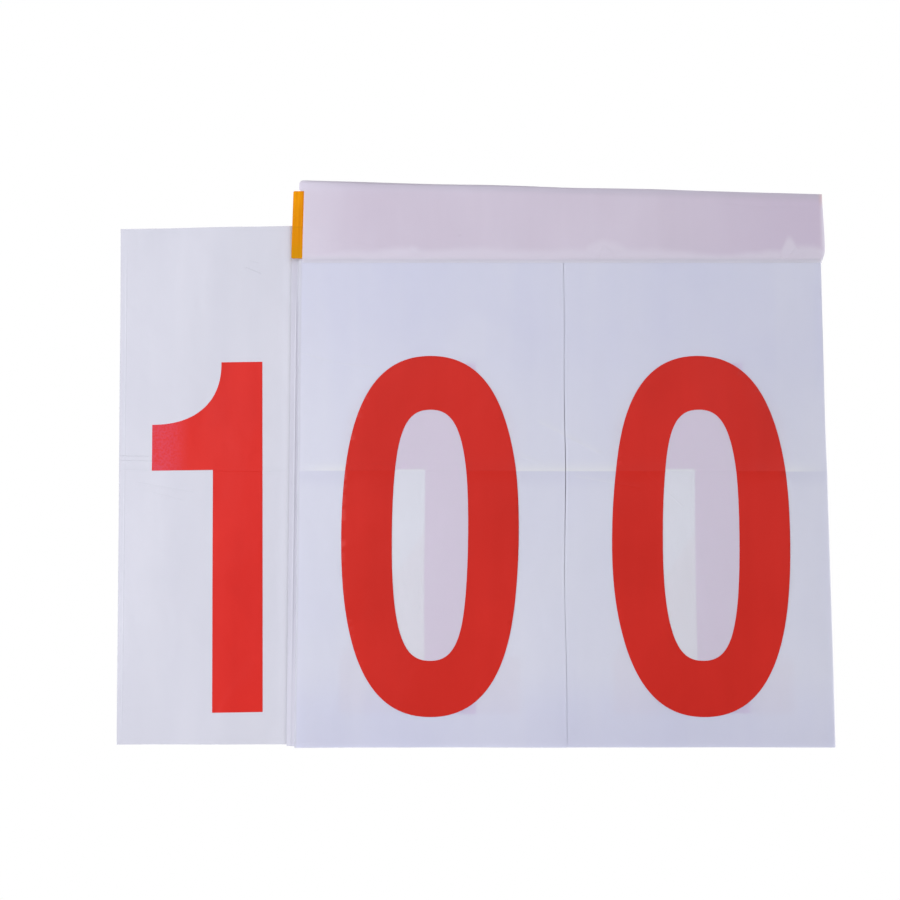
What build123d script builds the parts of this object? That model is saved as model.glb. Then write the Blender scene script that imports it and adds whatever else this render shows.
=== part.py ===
from build123d import *
from math import atan2, cos, degrees, isclose, radians, sin
import os

# A flip scoreboard of plastic film. It hangs by its head, with the numerals facing -Y.
# The origin is the centre of the head's flat back face. Depths run forward from that face.
# All sizes are in millimetres and all angles in degrees.

# Film and ink
film = 0.2
ink = 0.04
lay_gap = 0.1
air_gap = 0.16

# The two columns of sheets
pad_width = 397.7
column_gap = 1.0
column_seam = 1.5
pad_drop = 391.6
sheets_per_column = 10
hinge_gap = 0.3

# The head: a stiff strip, the film folded over it and the bound top margins of the sheets
bar_thickness = 1.0
bar_height_left = 52.3
bar_height_right = 49.2
bar_bottom = -25.7
bar_left_reach = 6.9
bar_end_slant = 1.2
bar_corner = 1.2
bar_right_inset = 0.3
sleeve_bottom = -29.0
sleeve_rise_left = 8.4
sleeve_back_reach = 1.2
sleeve_front_inset = 2.6
sleeve_front_slant = 1.0
sleeve_notch_rise = 0.6
sleeve_right_reach = 1.6
head_margin = 26.0

# Three staples hold the head together, at a steady pitch under the folded film
staple_wire = 0.6
staple_crown = 12.0
staple_clinch = 4.0
staple_height = -20.5
staple_pitch = 144.3
staple_edge = 22.75
staple_count = 3
staple_leg = 0.48
staple_hole_clearance = 0.1

# The back sheet and the flap for the hundreds, which folds behind at a vertical crease
crease_reach = 8.0
crease_gap = 0.3
flap_fold_clearance = 0.5
flap_width_top = 129.9
flap_width_bottom = 124.3
flap_top_left = -2.0
flap_top_right = 0.8
flap_bottom = -390.5
flap_lean = 0.77

# Numerals: round ones are a little taller than flat ones
numeral_middle = -235.2
numeral_width = 132.8
round_height = 269.2
flat_top = 129.2
flat_bottom = -132.1
side_stroke = 37.9
level_stroke = 41.0
thin_stroke = 35.0
slope_stroke = 43.6
outer_roundness = 0.82
counter_roundness = 0.74
zero_fullness_across = 0.60
zero_fullness_along = 0.75
zero_counter_fullness_across = 0.66
zero_counter_fullness_along = 0.83
upper_bowl_narrowing = 5.0
bowl_waist = 5.0
bowl_overlap = 20.0
one_right_edge = 34.0
one_width = 83.0
one_top_width = 31.6
one_flag_top = 82.1
one_flag_depth = 34.8
two_bowl_low = -12.0
two_inner_turn = 37.0
two_outer_turn = 29.4
two_slope_foot = -1.8
four_bar_low = -74.7
four_bar_end = 19.0
four_counter_top = 53.4
five_stem_foot = -27.0
seven_foot_left = -37.9
hundreds_numeral_centre = -260.9
tens_numeral_centre = -99.7
units_numeral_centre = 103.3

# Worked out from the sizes above
half_pad = pad_width / 2
tens_right = column_seam - column_gap / 2
units_left = column_seam + column_gap / 2
sheet_pitch = film + ink + air_gap
back_sheet_depth = film + lay_gap + staple_wire
last_sheet_depth = back_sheet_depth + film + air_gap
bar_depth = last_sheet_depth + sheets_per_column * sheet_pitch
bar_front = bar_depth + bar_thickness
sleeve_front_depth = bar_front + staple_wire + lay_gap
head_front = sleeve_front_depth + film
hinge_depth = head_front + hinge_gap
hinge_height = sleeve_bottom - hinge_gap
crease_x = -half_pad - crease_reach
crease_depth = (back_sheet_depth - flap_fold_clearance) / 2
sleeve_left = -half_pad - sleeve_back_reach
sleeve_front_left = -half_pad + sleeve_front_inset
sleeve_right = half_pad + sleeve_right_reach
bar_left = -half_pad - bar_left_reach
bar_right = half_pad - bar_right_inset
bar_top_left = bar_bottom + bar_height_left
bar_top_right = bar_bottom + bar_height_right
sleeve_notch_top = bar_top_left + sleeve_notch_rise
sleeve_top_left = bar_top_left + sleeve_rise_left
sleeve_top_right = bar_top_right + lay_gap + film
head_top = sleeve_bottom + head_margin
half_width = numeral_width / 2
half_round = round_height / 2


def front_plane(depth, x=0.0, height=0.0, lean=0.0):
    # Looks forward, with its own x to the right and its own y up
    turned = (cos(radians(lean)), 0, sin(radians(lean)))
    return Plane(origin=(x, -depth, height), x_dir=turned, z_dir=(0, -1, 0))


def oval(wide, tall, roundness, level=0.0, mode=Mode.ADD):
    # An oval of four tangent arcs, wide and tall being its half sizes. Its ends lie on the longer way.
    if isclose(wide, tall, abs_tol=0.01):
        with Locations((0, level)):
            Circle(wide, mode=mode)
        return
    narrow, long = sorted((wide, tall))
    end_radius = roundness * narrow
    end_reach = long - end_radius
    side_radius = (narrow**2 + end_reach**2 - end_radius**2) / (2 * (narrow - end_radius))
    side_reach = side_radius - narrow
    turn = degrees(atan2(end_reach, side_reach))
    with BuildLine() as edge:
        CenterArc((0, end_reach), end_radius, turn, 180 - 2 * turn)
        CenterArc((side_reach, 0), side_radius, 180 - turn, 2 * turn)
        CenterArc((0, -end_reach), end_radius, 180 + turn, 180 - 2 * turn)
        CenterArc((-side_reach, 0), side_radius, -turn, 2 * turn)
    face = make_face(edge.edges(), mode=Mode.PRIVATE)
    with Locations((0, level)):
        add(face, rotation=90 if wide > tall else 0, mode=mode)


def full_oval(wide, tall, across, along, mode=Mode.ADD):
    # An oval of four smooth quarters, whose handles reach these shares of its half sizes
    with BuildLine() as edge:
        Bezier((wide, 0), (wide, along * tall), (across * wide, tall), (0, tall))
        mirror(about=Plane.YZ)
        mirror(about=Plane.XZ)
    make_face(edge.edges(), mode=mode)


def block(left, right, low, high, mode=Mode.ADD):
    # A rectangle between four limits
    with Locations(((left + right) / 2, (low + high) / 2)):
        Rectangle(right - left, high - low, mode=mode)


def outline(*points, mode=Mode.ADD):
    with BuildLine() as edge:
        Polyline(*points, close=True)
    make_face(edge.edges(), mode=mode)


# The two bowls of 3 and 8, and where their counters end
upper_bowl_low = bowl_waist - bowl_overlap / 2
lower_bowl_high = bowl_waist + bowl_overlap / 2
waist_top = bowl_waist + side_stroke / 2
waist_low = bowl_waist - side_stroke / 2
counter_end = half_round - level_stroke
upper_half_width = half_width - upper_bowl_narrowing
counter_half_width = half_width - side_stroke
low_bowl_top = waist_top + side_stroke / 2


def bowl(wide, low, high, roundness, mode=Mode.ADD):
    # An oval between two heights
    oval(wide, (high - low) / 2, roundness, (high + low) / 2, mode)


def two_bowls():
    bowl(upper_half_width, upper_bowl_low, half_round, outer_roundness)
    bowl(half_width, -half_round, lower_bowl_high, outer_roundness)
    bowl(upper_half_width - side_stroke, waist_top, counter_end, counter_roundness, Mode.SUBTRACT)
    bowl(counter_half_width, -counter_end, waist_low, counter_roundness, Mode.SUBTRACT)


def draw_zero():
    full_oval(half_width, half_round, zero_fullness_across, zero_fullness_along)
    full_oval(
        counter_half_width,
        counter_end,
        zero_counter_fullness_across,
        zero_counter_fullness_along,
        Mode.SUBTRACT,
    )


def draw_one():
    stem_left = one_right_edge - side_stroke
    arc_end = one_right_edge - one_top_width
    flag_left = one_right_edge - one_width
    with BuildLine() as edge:
        Line((arc_end, flat_top), (one_right_edge, flat_top))
        Line((one_right_edge, flat_top), (one_right_edge, flat_bottom))
        Line((one_right_edge, flat_bottom), (stem_left, flat_bottom))
        Line((stem_left, flat_bottom), (stem_left, one_flag_top - one_flag_depth))
        Line((stem_left, one_flag_top - one_flag_depth), (flag_left, one_flag_top - one_flag_depth))
        Line((flag_left, one_flag_top - one_flag_depth), (flag_left, one_flag_top))
        arc_width = arc_end - flag_left
        EllipticalCenterArc((flag_left, flat_top), arc_width, flat_top - one_flag_top, 270, arc_size=90)
    make_face(edge.edges())


def bowl_spot(wide, low, high, turn):
    # A place on a bowl's right side, turned down from its middle
    middle = (high + low) / 2
    return wide * cos(radians(turn)), middle - (high - low) / 2 * sin(radians(turn))


def draw_two():
    foot_top = flat_bottom + level_stroke
    stub_low = counter_end - side_stroke
    counter_low = two_bowl_low + level_stroke
    slope_inner = bowl_spot(counter_half_width, counter_low, counter_end, two_inner_turn)
    slope_outer = bowl_spot(half_width, two_bowl_low, half_round, two_outer_turn)
    bowl(half_width, two_bowl_low, half_round, outer_roundness)
    bowl(counter_half_width, counter_low, counter_end, counter_roundness, Mode.SUBTRACT)
    # left of the slope all is open, up to the stub at the bowl's left end
    outline(
        (-half_width, stub_low),
        (0, stub_low),
        slope_inner,
        (-half_width, foot_top),
        mode=Mode.SUBTRACT,
    )
    outline(slope_inner, slope_outer, (two_slope_foot, foot_top), (-half_width, foot_top))
    block(-half_width, half_width, flat_bottom, foot_top)


def draw_three():
    two_bowls()
    # the left side is open between the two stubs, with a short middle bar
    stub_end = counter_end - side_stroke
    block(-half_width, -bowl_waist, -stub_end, stub_end, Mode.SUBTRACT)


def draw_four():
    stem_right = half_width - four_bar_end
    stem_left = stem_right - side_stroke
    bar_high = four_bar_low + level_stroke
    outline(
        (stem_left, flat_top),
        (stem_right, flat_top),
        (stem_right, flat_bottom),
        (stem_left, flat_bottom),
        (stem_left, four_bar_low),
        (-half_width, four_bar_low),
        (-half_width, bar_high),
    )
    # the counter is a triangle between the slope, the stem and the bar
    outline(
        (stem_left, four_counter_top),
        (stem_left, bar_high),
        (-half_width + slope_stroke, bar_high),
        mode=Mode.SUBTRACT,
    )
    block(stem_right, half_width, four_bar_low, bar_high)


def lower_bowl():
    bowl(half_width, -half_round, low_bowl_top, outer_roundness)
    bowl(
        counter_half_width,
        -counter_end,
        low_bowl_top - level_stroke,
        counter_roundness,
        Mode.SUBTRACT,
    )


def draw_five():
    left = -half_width + bowl_waist
    stem_right = left + thin_stroke
    lower_bowl()
    # open at the left between the stub below and the stem's foot
    block(-half_width, stem_right, -counter_end + side_stroke, low_bowl_top, Mode.SUBTRACT)
    block(left, stem_right, five_stem_foot, flat_top)
    block(left, half_width - bowl_waist, flat_top - level_stroke, flat_top)


def draw_six():
    oval(half_width, half_round, outer_roundness)
    oval(counter_half_width, counter_end, counter_roundness, mode=Mode.SUBTRACT)
    # open at the right below the top stub, where the bowl then goes
    block(0, half_width, -half_round, counter_end - side_stroke, Mode.SUBTRACT)
    lower_bowl()


def draw_seven():
    bar_low = flat_top - level_stroke
    outline(
        (-half_width, flat_top),
        (half_width, flat_top),
        (half_width, bar_low),
        (seven_foot_left + side_stroke, flat_bottom),
        (seven_foot_left, flat_bottom),
        (half_width - slope_stroke, bar_low),
        (-half_width, bar_low),
    )


# A 9 is a 6 turned half round
draw_numeral = {
    0: draw_zero,
    1: draw_one,
    2: draw_two,
    3: draw_three,
    4: draw_four,
    5: draw_five,
    6: draw_six,
    7: draw_seven,
    8: two_bowls,
    9: draw_six,
}
turned_numeral = 9


def finish(piece, name):
    piece.part.label = name
    export_step(piece.part, f"parts/{name}.step")


def make_numeral(name, number, depth, x, lean=0.0):
    turn = 180 if number == turned_numeral else 0
    with BuildPart() as piece:
        with BuildSketch(front_plane(depth, x, numeral_middle, lean + turn)):
            draw_numeral[number]()
        extrude(amount=ink)
    finish(piece, name)


def sheet_depth(number):
    # Back face of a sheet: 0 is the front one of its column
    return last_sheet_depth + (sheets_per_column - 1 - number) * sheet_pitch


def make_sheet(name, depth, left, right):
    with BuildPart() as piece:
        with BuildSketch(front_plane(depth)):
            block(left, right, -pad_drop, hinge_height)
        extrude(amount=film)
    finish(piece, name)


# Where the legs of the staples pass
leg_reach = (staple_crown - staple_wire) / 2
leg_hole = staple_wire / 2 + staple_hole_clearance
staple_places = [
    half_pad - staple_edge - number * staple_pitch for number in range(staple_count)
]
leg_places = [
    (place + side * leg_reach, staple_height) for place in staple_places for side in (-1, 1)
]


def leg_holes(low_x, high_x):
    # Holes for those legs that pass between two places
    places = [(x, z) for x, z in leg_places if low_x < x < high_x]
    if places:
        with Locations(places):
            Circle(leg_hole, mode=Mode.SUBTRACT)


def make_heads(name, left, right):
    with BuildPart() as piece:
        for number in range(sheets_per_column):
            with BuildSketch(front_plane(sheet_depth(number))):
                block(left, right, sleeve_bottom, head_top)
                leg_holes(left, right)
            extrude(amount=film)
    finish(piece, name)


os.makedirs("parts", exist_ok=True)

# The stiff strip: its left end, cut a little aslant, sticks out of the folded film
with BuildPart() as header_bar:
    with BuildSketch(front_plane(bar_depth)) as face:
        outline(
            (bar_left, bar_bottom),
            (bar_right, bar_bottom),
            (bar_right, bar_top_right),
            (bar_left + bar_end_slant, bar_top_left),
        )
        fillet(face.vertices(), bar_corner)
        leg_holes(bar_left, bar_right)
    extrude(amount=bar_thickness)
finish(header_bar, "header_bar")

# The folded film: two leaves joined along a top fold that rises to the left
with BuildPart() as header_sleeve:
    with BuildSketch(front_plane(0)):
        outline(
            (sleeve_left, sleeve_bottom),
            (sleeve_right, sleeve_bottom),
            (sleeve_right, sleeve_top_right),
            (sleeve_left, sleeve_top_left),
        )
    extrude(amount=head_front)
    with BuildSketch(front_plane(film)):
        outline(
            (sleeve_left, sleeve_bottom),
            (sleeve_right, sleeve_bottom),
            (sleeve_right, sleeve_top_right - film),
            (sleeve_left, sleeve_top_left - film),
        )
    extrude(amount=sleeve_front_depth - film, mode=Mode.SUBTRACT)
    # the front leaf stops short of the back one, beside the strip's end
    with BuildSketch(front_plane(sleeve_front_depth)):
        outline(
            (sleeve_left, sleeve_bottom),
            (sleeve_front_left - sleeve_front_slant, sleeve_bottom),
            (sleeve_front_left, sleeve_notch_top),
            (sleeve_left, sleeve_notch_top),
        )
    extrude(amount=film, mode=Mode.SUBTRACT)
finish(header_sleeve, "header_sleeve")

# The sheet behind both columns, up to the crease at its left
with BuildPart() as back_sheet:
    with BuildSketch(front_plane(back_sheet_depth)):
        block(crease_x + crease_gap / 2, half_pad, -pad_drop, flap_top_right)
        leg_holes(crease_x, half_pad)
    extrude(amount=film)
finish(back_sheet, "back_sheet")

# The flap for the hundreds, left of the crease
flap_right = crease_x - crease_gap / 2
with BuildPart() as hundreds_flap:
    with BuildSketch(front_plane(back_sheet_depth)):
        outline(
            (flap_right, flap_bottom),
            (flap_right, flap_top_right),
            (flap_right - flap_width_top, flap_top_left),
            (flap_right - flap_width_bottom, flap_bottom),
        )
    extrude(amount=film)
finish(hundreds_flap, "hundreds_flap")

make_heads("tens_heads", -half_pad, tens_right)
make_heads("units_heads", units_left, half_pad)

for number in range(sheets_per_column):
    make_sheet(f"tens_sheet_{number}", sheet_depth(number), -half_pad, tens_right)
    make_sheet(f"units_sheet_{number}", sheet_depth(number), units_left, half_pad)
    ink_depth = sheet_depth(number) + film
    make_numeral(f"tens_numeral_{number}", number, ink_depth, tens_numeral_centre)
    make_numeral(f"units_numeral_{number}", number, ink_depth, units_numeral_centre)

make_numeral("hundreds_numeral", 1, back_sheet_depth + film, hundreds_numeral_centre, flap_lean)

# Staples: crown on the strip's front, legs through the head, ends turned in at the back
with BuildPart() as binding_staples:
    with BuildSketch(front_plane(bar_front)):
        with Locations([(place, staple_height) for place in staple_places]):
            Rectangle(staple_crown, staple_wire)
    extrude(amount=staple_wire)
    with BuildSketch(front_plane(back_sheet_depth - staple_wire)):
        with Locations(leg_places):
            Rectangle(staple_leg, staple_leg)
    extrude(amount=bar_front - back_sheet_depth + staple_wire)
    with BuildSketch(front_plane(back_sheet_depth - staple_wire)):
        for place in staple_places:
            for side in (-1, 1):
                middle = place + side * (staple_crown - staple_clinch) / 2
                with Locations((middle, staple_height)):
                    Rectangle(staple_clinch, staple_wire)
    extrude(amount=staple_wire)
finish(binding_staples, "binding_staples")

print(f"hinge line of the sheets: y {-hinge_depth:.3f}, z {hinge_height:.3f}")
print(f"crease of the flap: x {crease_x:.3f}, y {-crease_depth:.3f}")
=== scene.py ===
import math

import bmesh
import bpy
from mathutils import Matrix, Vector


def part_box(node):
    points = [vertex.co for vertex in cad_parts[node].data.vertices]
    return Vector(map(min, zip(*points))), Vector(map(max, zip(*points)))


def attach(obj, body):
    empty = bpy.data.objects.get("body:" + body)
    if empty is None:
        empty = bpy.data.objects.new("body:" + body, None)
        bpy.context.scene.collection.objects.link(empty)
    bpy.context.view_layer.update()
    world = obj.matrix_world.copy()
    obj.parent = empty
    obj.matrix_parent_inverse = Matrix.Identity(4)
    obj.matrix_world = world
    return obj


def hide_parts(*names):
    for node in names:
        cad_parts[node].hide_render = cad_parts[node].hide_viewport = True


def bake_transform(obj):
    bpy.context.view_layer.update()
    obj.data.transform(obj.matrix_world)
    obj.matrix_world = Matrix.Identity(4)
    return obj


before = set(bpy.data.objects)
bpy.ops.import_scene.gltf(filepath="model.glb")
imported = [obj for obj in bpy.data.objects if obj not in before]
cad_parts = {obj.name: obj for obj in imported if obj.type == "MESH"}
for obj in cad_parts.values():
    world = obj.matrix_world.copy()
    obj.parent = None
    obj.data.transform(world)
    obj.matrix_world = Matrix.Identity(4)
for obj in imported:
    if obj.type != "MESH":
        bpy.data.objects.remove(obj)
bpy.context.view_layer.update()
mm = 0.001


def ease(value, start, end):
    # 0 before start, 1 after end, smooth between
    t = min(1.0, max(0.0, (value - start) / (end - start)))
    return t * t * (3 - 2 * t)


def swell(x, z, waves):
    # adds up soft waves, never below zero, each (height, length across, length down, shift)
    total = 0.0
    for height, across, down, shift in waves:
        phase = 2 * math.pi * (x / across + z / down) + shift
        total += height * (0.5 + 0.5 * math.sin(phase))
    return total


def steps(start, end, count):
    return [start + (end - start) * i / count for i in range(count + 1)]


def addObject(name, data):
    thing = bpy.data.objects.new(name, data)
    bpy.context.scene.collection.objects.link(thing)
    return thing


# camera: matched to the photo, a little below the board and looking up at it
cameraSetup = {
    "lens": 50.0,
    "sensor": 36.0,
    "distance": 0.9405,
    "tilt": 4.8,
    "target": (-0.0848, -0.005, -0.172),
}


def makeCamera(setup):
    tilt = math.radians(setup["tilt"])
    target = Vector(setup["target"])
    data = bpy.data.cameras.new("photoCamera")
    data.lens = setup["lens"]
    data.sensor_width = setup["sensor"]
    camera = addObject("photoCamera", data)
    away = Vector((0, -math.cos(tilt), -math.sin(tilt)))
    camera.location = target + away * setup["distance"]
    camera.rotation_euler = (-away).to_track_quat("-Z", "Y").to_euler()
    bpy.context.scene.camera = camera


makeCamera(cameraSetup)
print("camera made")


# node helpers, used by every material below
def addNode(tree, kind, **values):
    node = tree.nodes.new(kind)
    for key, value in values.items():
        setattr(node, key, value)
    return node


def mathNode(tree, operation, a, b=None, clamp=False):
    node = addNode(tree, "ShaderNodeMath", operation=operation, use_clamp=clamp)
    for socket, value in zip(node.inputs, (a, b)):
        if value is None:
            continue
        if isinstance(value, (int, float)):
            socket.default_value = value
        else:
            tree.links.new(value, socket)
    return node.outputs[0]


def plus(tree, a, b, clamp=False):
    return mathNode(tree, "ADD", a, b, clamp)


def minus(tree, a, b, clamp=False):
    return mathNode(tree, "SUBTRACT", a, b, clamp)


def times(tree, a, b):
    return mathNode(tree, "MULTIPLY", a, b)


def greater(tree, a, b):
    return mathNode(tree, "MAXIMUM", a, b)


def objectAxes(tree):
    # the place on the piece itself, in metres, as X, Y and Z
    coords = addNode(tree, "ShaderNodeTexCoord")
    axes = addNode(tree, "ShaderNodeSeparateXYZ")
    tree.links.new(coords.outputs["Object"], axes.inputs[0])
    return axes.outputs


def objectNoise(tree, scale, detail=2.0, stretch=(1, 1, 1), shift=(0, 0, 0), distortion=0.0):
    # noise in metres on the piece itself, its output runs around 0.5
    coords = addNode(tree, "ShaderNodeTexCoord")
    place = addNode(tree, "ShaderNodeMapping")
    place.inputs["Location"].default_value = shift
    place.inputs["Scale"].default_value = stretch
    noise = addNode(tree, "ShaderNodeTexNoise")
    noise.inputs["Scale"].default_value = scale
    noise.inputs["Detail"].default_value = detail
    noise.inputs["Distortion"].default_value = distortion
    tree.links.new(coords.outputs["Object"], place.inputs["Vector"])
    tree.links.new(place.outputs["Vector"], noise.inputs["Vector"])
    return noise.outputs["Fac"]


def newGroup(name, outputs):
    group = bpy.data.node_groups.new(name, "ShaderNodeTree")
    for label in outputs:
        group.interface.new_socket(label, in_out="OUTPUT", socket_type="NodeSocketFloat")
    return group, group.nodes.new("NodeGroupOutput")


def rangeNode(tree, value, fromMin, fromMax, toMin, toMax, smooth=False):
    node = addNode(tree, "ShaderNodeMapRange")
    node.interpolation_type = "SMOOTHSTEP" if smooth else "LINEAR"
    tree.links.new(value, node.inputs["Value"])
    for label, number in (
        ("From Min", fromMin),
        ("From Max", fromMax),
        ("To Min", toMin),
        ("To Max", toMax),
    ):
        node.inputs[label].default_value = number
    return node.outputs["Result"]


def spreadNoise(tree, noise, low=0.0, high=1.0):
    # most of a noise lies between 0.3 and 0.7, here it is drawn out to low and high
    return rangeNode(tree, noise, 0.3, 0.7, low, high)


def bandNode(tree, value, start, end, share=1.0):
    # 0 at start and share at end, smooth between and level beyond, both in mm
    return rangeNode(tree, value, start * mm, end * mm, 0.0, share, smooth=True)


# fold lines pressed into the film, in mm: (x1, z1, x2, z2, width above, width below, height)
foldLines = {
    "pad": [
        (-207.0, -187.4, 200.0, -188.2, 11.0, 9.0, 0.55),
        (-207.0, -183.0, -60.0, -184.5, 5.0, 3.0, 0.10),
        (-199.0, -98.0, -172.0, -106.0, 1.8, 1.8, 0.14),
        (-172.0, -106.0, -142.0, -109.5, 1.6, 1.6, 0.11),
        (-20.0, -150.0, 30.0, -176.0, 6.0, 1.6, 0.16),
        (8.0, -192.0, 60.0, -201.0, 4.0, 1.2, 0.12),
        (60.0, -187.0, 90.0, -215.0, 1.2, 1.0, 0.07),
        (-34.0, -176.0, -6.0, -186.0, 5.0, 1.2, 0.12),
    ],
    "back": [
        (-201.9, -44.0, -202.5, -430.0, 1.5, 1.5, 0.25),
        (-207.0, -187.4, 200.0, -188.2, 11.0, 9.0, 0.55),
    ],
    "flap": [
        (-340.0, -186.6, -206.0, -187.9, 6.0, 1.0, 0.14),
        (-341.0, -175.9, -311.0, -176.5, 0.9, 0.9, 0.22),
        (-341.0, -179.3, -306.0, -180.1, 0.9, 0.9, 0.18),
        (-332.4, -3.0, -327.6, -391.0, 0.9, 0.9, 0.10),
        (-242.0, -31.5, -229.0, -36.5, 0.9, 0.9, 0.22),
        (-238.0, -26.5, -231.0, -28.5, 0.7, 0.7, 0.12),
        (-322.0, -196.0, -276.0, -204.0, 0.7, 0.7, 0.10),
        (-312.0, -203.0, -284.0, -210.0, 0.7, 0.7, 0.08),
    ],
    "sleeve": [
        (-78.6, -9.0, -76.6, -7.4, 0.8, 0.8, 0.20),
        (19.0, 22.0, 21.0, -16.0, 1.2, 1.2, 0.07),
        (24.5, 20.0, 25.5, -10.0, 1.0, 1.0, 0.05),
        (-60.0, 27.5, 60.0, 22.5, 1.4, 1.4, 0.06),
        (118.0, 16.0, 196.0, 13.0, 1.4, 1.4, 0.07),
        (-196.0, -10.0, -120.0, -19.5, 1.6, 1.6, 0.06),
        (-118.0, -20.0, -108.0, -24.5, 1.0, 1.0, 0.12),
        (28.0, -26.0, 31.0, -16.0, 0.9, 0.9, 0.16),
        (33.0, -16.0, 41.0, -25.0, 1.1, 1.1, 0.12),
        (166.0, -27.0, 168.0, -18.0, 0.9, 0.9, 0.14),
        (172.0, -26.0, 178.0, -17.0, 0.9, 0.9, 0.14),
        (179.0, -17.0, 186.0, -25.0, 0.9, 0.9, 0.12),
    ],
}
# painted light and shade go on one side of a ridge only, above its line, in full from a height
# of fullRise, both in mm, and run out towards the line's ends
foldShape = {"tint": (-0.6, 0.2), "fullRise": 0.4, "runOut": 0.42}


def makeFoldGroup(name, lines, shape=foldShape):
    # height of the ridges, in metres, and a mask that is 1 where light and shade are painted on a
    # ridge
    group, out = newGroup(name, ["Height", "Mask"])
    axes = objectAxes(group)
    tintFrom, tintTo = shape["tint"]
    height, mask = None, None
    for x1, z1, x2, z2, above, below, rise in lines:
        length = math.hypot(x2 - x1, z2 - z1)
        ux, uz = (x2 - x1) / length, (z2 - z1) / length
        fromX = minus(group, axes["X"], x1 * mm)
        fromZ = minus(group, axes["Z"], z1 * mm)
        along = plus(group, times(group, fromX, ux), times(group, fromZ, uz))
        beside = minus(group, times(group, fromX, -uz), times(group, fromZ, -ux))
        share = greater(
            group,
            times(group, beside, 1 / (above * mm)),
            times(group, beside, -1 / (below * mm)),
        )
        slope = minus(group, 1.0, share, clamp=True)
        middle = length * mm / 2
        beyond = mathNode(group, "ABSOLUTE", minus(group, along, middle))
        runOut = length * mm * shape["runOut"]
        ends = rangeNode(group, beyond, runOut, middle, 1.0, 0.0, smooth=True)
        ridge = times(group, times(group, slope, slope), ends)
        lifted = times(group, ridge, rise * mm)
        tinted = rangeNode(group, beside, tintFrom * mm, tintTo * mm, 0.0, 1.0)
        tinted = times(group, ridge, tinted)
        shown = times(group, tinted, min(1.0, rise / shape["fullRise"]))
        height = lifted if height is None else plus(group, height, lifted)
        mask = shown if mask is None else greater(group, mask, shown)
    group.links.new(height, out.inputs["Height"])
    group.links.new(mask, out.inputs["Mask"])
    return group


# the thin blown film itself: cloudy thickness, streaks along its length, fine crinkles;
# each noise is (scale, detail, stretch, shift, distortion), each height is in mm
filmGrain = {
    "cloud": (14.0, 3.0, (1, 1, 0.7), (0.3, 0, 0.1), 0.4),
    "cloudShare": 0.7,
    "streak": (60.0, 2.0, (1, 1, 0.05)),
    "streakShare": 0.3,
    "streakHeight": 0.03,
    "crinkle": (42.0, 1.0, (0.8, 1, 0.5), (1.7, 0, 0.4), 0.8),
    "crinkleHeight": 0.60,
    "ripple": (190.0, 2.0, (1, 1, 0.6), (0.2, 0, 0.9)),
    "rippleHeight": 0.08,
    "gloss": (26.0, 3.0, (1, 1, 0.4), (0.6, 0, 0.2)),
}


def makeFilmGroup(grain):
    group, out = newGroup("filmGrain", ["Tone", "Height", "Gloss"])
    cloud = objectNoise(group, *grain["cloud"])
    streak = objectNoise(group, *grain["streak"])
    tone = plus(
        group,
        spreadNoise(group, cloud, 0.0, grain["cloudShare"]),
        spreadNoise(group, streak, 0.0, grain["streakShare"]),
        clamp=True,
    )
    crinkle = times(group, objectNoise(group, *grain["crinkle"]), grain["crinkleHeight"] * mm)
    ripple = times(group, objectNoise(group, *grain["ripple"]), grain["rippleHeight"] * mm)
    streakLift = times(group, streak, grain["streakHeight"] * mm)
    height = plus(group, plus(group, crinkle, ripple), streakLift)
    gloss = spreadNoise(group, objectNoise(group, *grain["gloss"]))
    for label, value in (("Tone", tone), ("Height", height), ("Gloss", gloss)):
        group.links.new(value, out.inputs[label])
    return group


filmGroup = makeFilmGroup(filmGrain)
foldGroups = {name: makeFoldGroup(name + "Folds", lines) for name, lines in foldLines.items()}


def blankMaterial(name):
    material = bpy.data.materials.new(name)
    material.use_nodes = True
    tree = material.node_tree
    return material, tree, tree.nodes["Principled BSDF"]


def useGroup(tree, group):
    node = addNode(tree, "ShaderNodeGroup")
    node.node_tree = group
    return node.outputs


def mixColour(tree, factor, first, second):
    # a colour is three numbers or a socket, and sockets 6, 7 and 2 are the node's colours
    node = addNode(tree, "ShaderNodeMix", data_type="RGBA")
    tree.links.new(factor, node.inputs["Factor"])
    for socket, value in ((node.inputs[6], first), (node.inputs[7], second)):
        if isinstance(value, tuple):
            socket.default_value = (*value, 1.0)
        else:
            tree.links.new(value, socket)
    return node.outputs[2]


def addBump(tree, shader, height):
    # the height is in metres, so the bump is as deep as it says
    bump = addNode(tree, "ShaderNodeBump")
    bump.inputs["Strength"].default_value = 1.0
    bump.inputs["Distance"].default_value = 1.0
    tree.links.new(height, bump.inputs["Height"])
    tree.links.new(bump.outputs["Normal"], shader.inputs["Normal"])


def addFilmSurface(tree, shader, film, folds, look):
    # roughness, shine and relief, the same way for the films and the print on them
    rough = rangeNode(tree, film["Gloss"], 0.0, 1.0, *look["rough"])
    tree.links.new(rough, shader.inputs["Roughness"])
    shader.inputs["Specular IOR Level"].default_value = look["shine"]
    addBump(tree, shader, plus(tree, film["Height"], folds["Height"]))
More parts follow.
